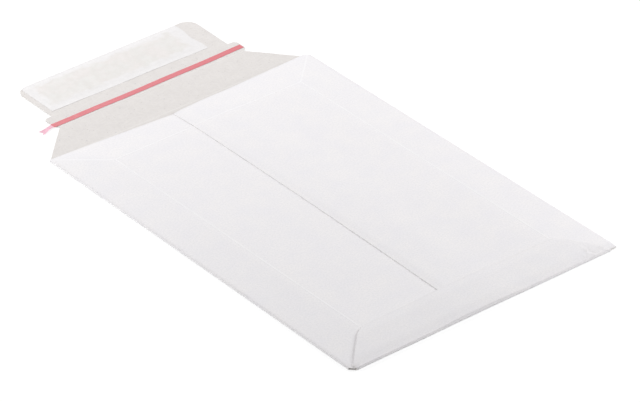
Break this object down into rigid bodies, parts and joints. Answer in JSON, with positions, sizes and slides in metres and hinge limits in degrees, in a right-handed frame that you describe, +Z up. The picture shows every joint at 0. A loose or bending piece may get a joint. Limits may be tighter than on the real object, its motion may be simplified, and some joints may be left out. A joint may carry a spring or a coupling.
{
  "type": "cardboard envelope",
  "caption": "Solid-board mailing envelope lying open: a lapped, creased pocket with a glued bottom flap and a closure flap with tear tape and a lined adhesive band.",
  "frame": {"origin": "centre of the bounding box at its base, under the open envelope on the table", "axes": "+X across the pocket, +Y from the bottom fold towards the open closure flap, +Z up from the rear panel through the front"},
  "size_m": [0.235, 0.435, 0.0071],
  "materials": {
    "white_board": "matte",
    "tear_tape": "satin",
    "adhesive": "satin",
    "release_paper": "satin",
    "board_glue": "matte"
  },
  "bodies": {
    "pocket_body": {"pocket": "white_board", "seam_glue": "board_glue", "bottom_glue": "board_glue"},
    "closure_body": {"closure_flap": "white_board", "tear_tape": "tear_tape", "adhesive_band": "adhesive", "release_liner": "release_paper"}
  },
  "joints": [
    {"name": "flap_fold", "type": "hinge", "parent": "pocket_body", "child": "closure_body", "pos_m": [0, 0.1225, 0.0024], "axis": [1, 0, 0], "range_deg": [0, 175]}
  ]
}
